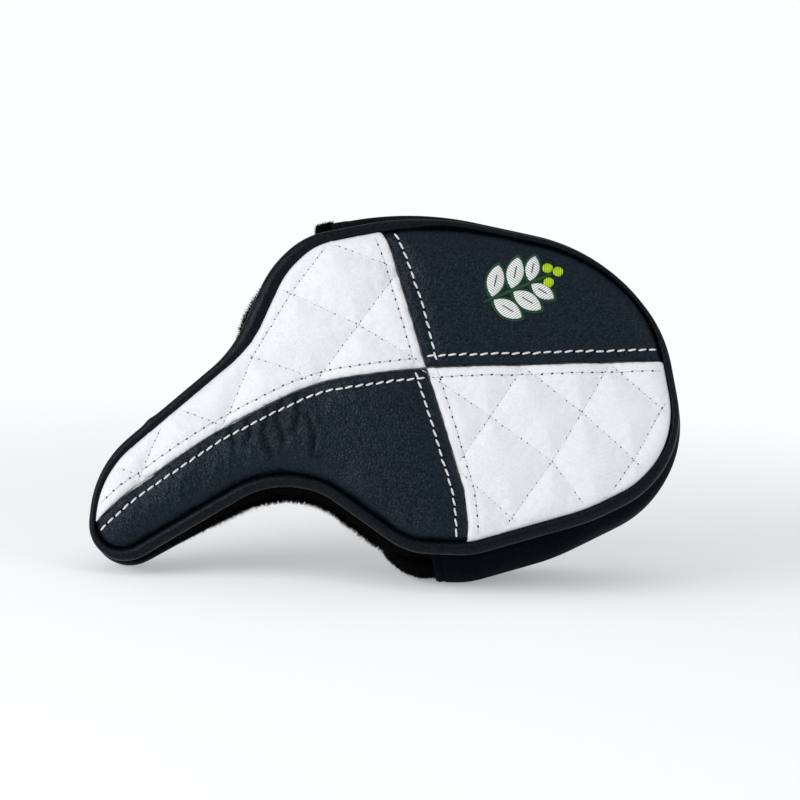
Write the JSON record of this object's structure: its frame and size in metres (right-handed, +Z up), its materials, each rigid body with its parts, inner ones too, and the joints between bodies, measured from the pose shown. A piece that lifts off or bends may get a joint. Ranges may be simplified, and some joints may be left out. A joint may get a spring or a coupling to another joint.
{
  "type": "putter head cover",
  "caption": "Padded leather cover for a heel-shafted putter head: quilted patchwork faces, piped edges, toe gusset, fleece lining and two flaps that spread apart.",
  "frame": {"origin": "on the table, under the middle of the cover's overall box, with the cover standing on the slanting back half of its gusset and on its tail, leaning back 18 degrees", "axes": "+X towards the toe, the round end; +Y away from the decorated front face; +Z up"},
  "size_m": [0.1734, 0.0704, 0.1065],
  "materials": {
    "white_leather": "satin",
    "navy_leather": "satin",
    "fleece": "matte",
    "foam": "matte",
    "steel_disc": "satin",
    "embroidery": "satin"
  },
  "bodies": {
    "body": {"back_heel_leather_body": "navy_leather", "back_heel_quilt_body": "white_leather", "back_lining_body": "fleece", "back_padding_body": "foam", "back_piping_body": "navy_leather", "back_toe_leather": "navy_leather", "back_toe_quilt": "white_leather", "front_heel_leather_body": "navy_leather", "front_heel_quilt_body": "white_leather", "front_lining_body": "fleece", "front_padding_body": "foam", "front_piping_body": "navy_leather", "front_sprig": "embroidery", "front_toe_leather": "navy_leather", "front_toe_quilt": "white_leather", "gusset_binding_bottom": "navy_leather", "gusset_binding_top": "navy_leather", "gusset_leather": "navy_leather", "gusset_lining": "fleece"},
    "front_flap": {"front_heel_leather_flap": "navy_leather", "front_heel_quilt_flap": "white_leather", "front_lining_flap": "fleece", "front_magnet_tail": "steel_disc", "front_magnet_waist": "steel_disc", "front_padding_flap": "foam", "front_piping_flap": "navy_leather"},
    "back_flap": {"back_heel_leather_flap": "navy_leather", "back_heel_quilt_flap": "white_leather", "back_lining_flap": "fleece", "back_magnet_tail": "steel_disc", "back_magnet_waist": "steel_disc", "back_padding_flap": "foam", "back_piping_flap": "navy_leather"}
  },
  "joints": [
    {"name": "front_flap_bend", "type": "hinge", "parent": "body", "child": "front_flap", "pos_m": [-0.00352, -0.0224, 0.05938], "axis": [-0.3173, 0.2931, 0.9019], "range_deg": [0, 35], "stiffness_Nm_per_rad": 0.12, "springref_deg": -5.73},
    {"name": "back_flap_bend", "type": "hinge", "parent": "body", "child": "back_flap", "pos_m": [-0.00352, 0.02173, 0.04504], "axis": [0.3173, -0.2931, -0.9019], "range_deg": [0, 35], "stiffness_Nm_per_rad": 0.12, "springref_deg": -5.73}
  ]
}
